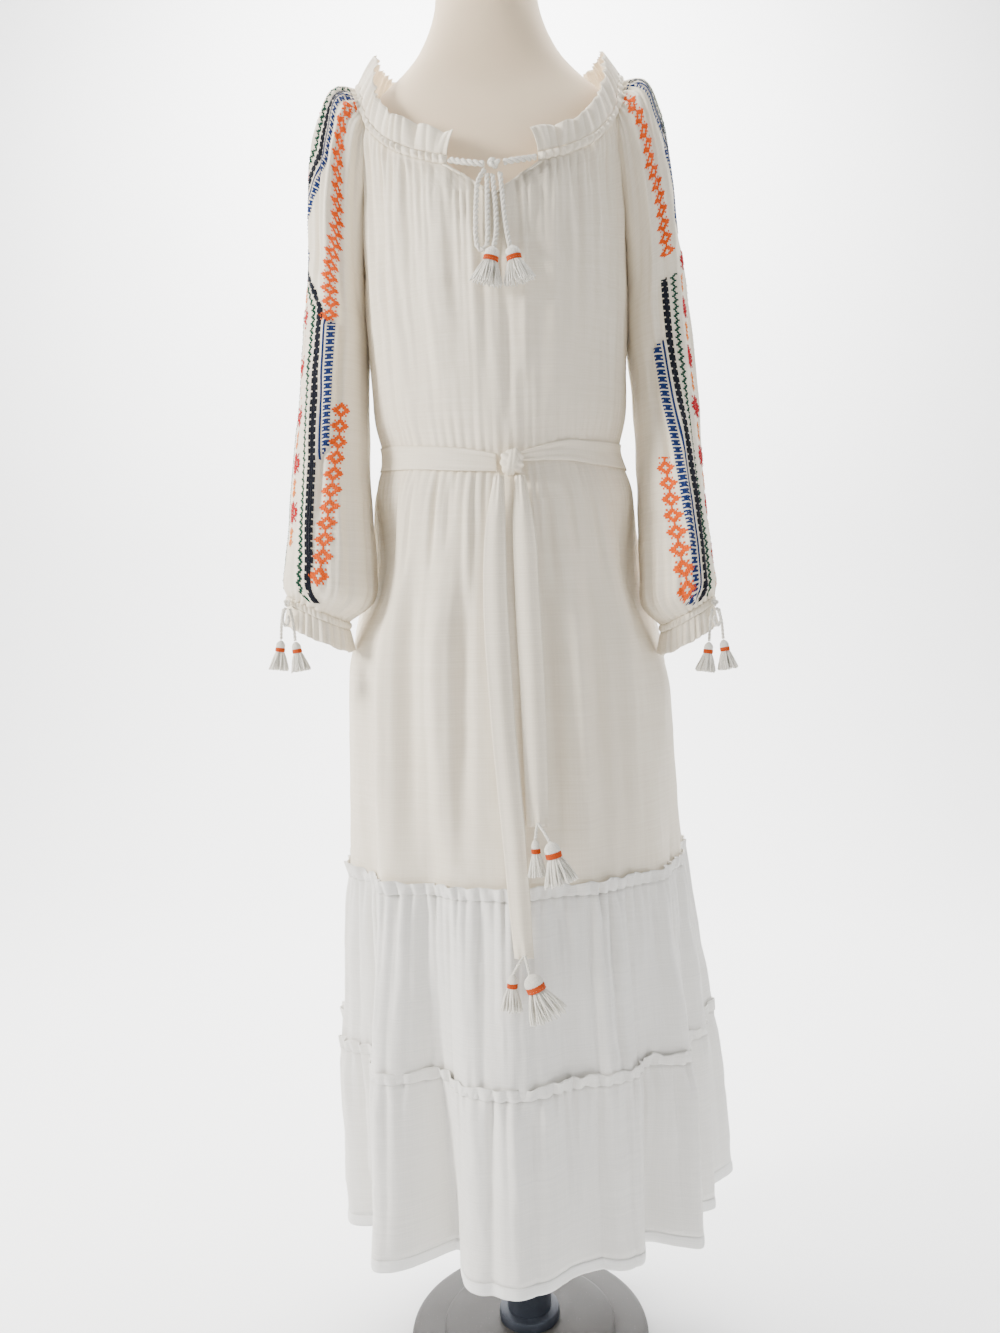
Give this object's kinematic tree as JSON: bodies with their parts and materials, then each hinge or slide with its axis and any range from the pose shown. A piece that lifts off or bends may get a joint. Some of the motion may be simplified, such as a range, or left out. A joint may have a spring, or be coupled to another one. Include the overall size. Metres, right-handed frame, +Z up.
{
  "type": "peasant dress on a dress form",
  "caption": "Long gathered peasant dress with embroidered raglan sleeves, tie belt and ruffled tiers, worn on a limbless dress form on a pole and round base.",
  "frame": {"origin": "centre of the round base's flat underside", "axes": "+Z up along the pole; the dress's front faces -Y; +X is to the right as seen from the front"},
  "size_m": [0.5032, 0.4062, 1.6263],
  "materials": {
    "linen": "slubby natural white linen, half sheer",
    "hem_linen": "the same linen, folded double",
    "cord_cotton": "twisted cotton cord",
    "tassel_cotton": "cotton thread tassel with an orange tie",
    "form_cloth": "cream linen cover, stretched smooth",
    "pole_paint": "dark blue-grey paint, half matt",
    "base_paint": "dark brown-grey, worn matt"
  },
  "bodies": {
    "root": {"back_panel": "linen", "base_disc": "base_paint", "base_dish": "base_paint", "belt_band": "linen", "belt_knot": "linen", "belt_tail_left": "linen", "belt_tail_right": "linen", "belt_tassel_left_a": "tassel_cotton", "belt_tassel_left_b": "tassel_cotton", "belt_tassel_right_a": "tassel_cotton", "belt_tassel_right_b": "tassel_cotton", "bow_cord_left": "cord_cotton", "bow_cord_middle": "cord_cotton", "bow_cord_right": "cord_cotton", "bow_knot": "linen", "cuff_casing_left": "linen", "cuff_casing_right": "linen", "cuff_ruffle_left": "linen", "cuff_ruffle_right": "linen", "cuff_tassel_a_left": "tassel_cotton", "cuff_tassel_a_right": "tassel_cotton", "cuff_tassel_b_left": "tassel_cotton", "cuff_tassel_b_right": "tassel_cotton", "cuff_tie_cord_a_left": "cord_cotton", "cuff_tie_cord_a_right": "cord_cotton", "cuff_tie_cord_b_left": "cord_cotton", "cuff_tie_cord_b_right": "cord_cotton", "cuff_tie_knot_left": "cord_cotton", "cuff_tie_knot_right": "cord_cotton", "cuff_tie_loop_left": "cord_cotton", "cuff_tie_loop_right": "cord_cotton", "drawstring_left": "linen", "drawstring_right": "linen", "form_neck_cap": "form_cloth", "form_torso": "form_cloth", "front_panel": "linen", "hem_band": "hem_linen", "neck_casing": "linen", "neck_ruffle": "linen", "neck_tassel_left": "tassel_cotton", "neck_tassel_right": "tassel_cotton", "sleeve_left": "linen", "sleeve_right": "linen", "slit_binding_left": "linen", "slit_binding_right": "linen", "stand_collar": "pole_paint", "stand_pole": "pole_paint", "tier_1": "linen", "tier_1_heading": "linen", "tier_2": "linen", "tier_2_heading": "linen"}
  },
  "joints": []
}
